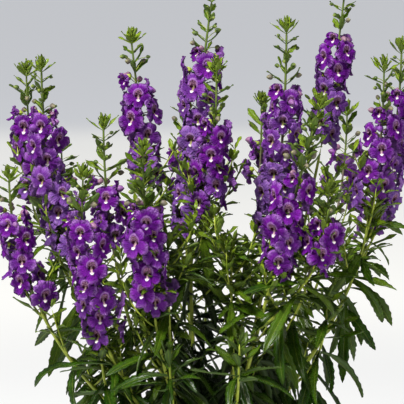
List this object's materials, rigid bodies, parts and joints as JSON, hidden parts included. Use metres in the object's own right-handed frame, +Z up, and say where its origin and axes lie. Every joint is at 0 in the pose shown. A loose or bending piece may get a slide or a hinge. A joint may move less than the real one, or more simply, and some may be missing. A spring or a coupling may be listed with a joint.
{
  "type": "potted angelonia",
  "caption": "Bushy angelonia in a plain nursery pot: leafy stems that stand in the soil, each carrying a raceme of violet two-lipped blooms under a green top of buds.",
  "frame": {"origin": "middle of the pot's flat underside, on the surface that it stands on", "axes": "+Z up along the pot's axis; +X to the right and -Y towards the viewer, as the plant faces in the picture"},
  "size_m": [0.3598, 0.3083, 0.495],
  "materials": {
    "pot": "matt black moulded plastic",
    "soil": "rough damp peat and bark",
    "foliage": "satin green leaf",
    "petals": "soft matt petal"
  },
  "bodies": {
    "root": {"pot": "pot", "soil": "soil", "stem_left_tall": "foliage", "blooms_left_tall": "petals", "buds_left_tall": "foliage", "blooms_left_fork": "petals", "buds_left_fork": "foliage", "stem_far_left": "foliage", "blooms_far_left": "petals", "buds_far_left": "foliage", "stem_mid_left_tall": "foliage", "blooms_mid_left_tall": "petals", "buds_mid_left_tall": "foliage", "stem_mid_left_short": "foliage", "blooms_mid_left_short": "petals", "buds_mid_left_short": "foliage", "stem_front_left": "foliage", "blooms_front_left": "petals", "buds_front_left": "foliage", "stem_front_mid_left": "foliage", "blooms_front_mid_left": "petals", "buds_front_mid_left": "foliage", "stem_centre_tall": "foliage", "blooms_centre_tall": "petals", "buds_centre_tall": "foliage", "blooms_centre_fork": "petals", "buds_centre_fork": "foliage", "stem_mid_right_tall": "foliage", "blooms_mid_right_tall": "petals", "buds_mid_right_tall": "foliage", "stem_front_right": "foliage", "blooms_front_right": "petals", "buds_front_right": "foliage", "blooms_front_right_fork": "petals", "buds_front_right_fork": "foliage", "stem_right_tall": "foliage", "blooms_right_tall": "petals", "buds_right_tall": "foliage", "stem_far_right": "foliage", "blooms_far_right": "petals", "buds_far_right": "foliage", "blooms_far_right_fork": "petals", "buds_far_right_fork": "foliage", "stem_back_left": "foliage", "blooms_back_left": "petals", "buds_back_left": "foliage", "stem_back_mid_left": "foliage", "blooms_back_mid_left": "petals", "buds_back_mid_left": "foliage", "stem_back_mid_right": "foliage", "blooms_back_mid_right": "petals", "buds_back_mid_right": "foliage", "stem_back_right": "foliage", "blooms_back_right": "petals", "buds_back_right": "foliage"}
  },
  "joints": []
}
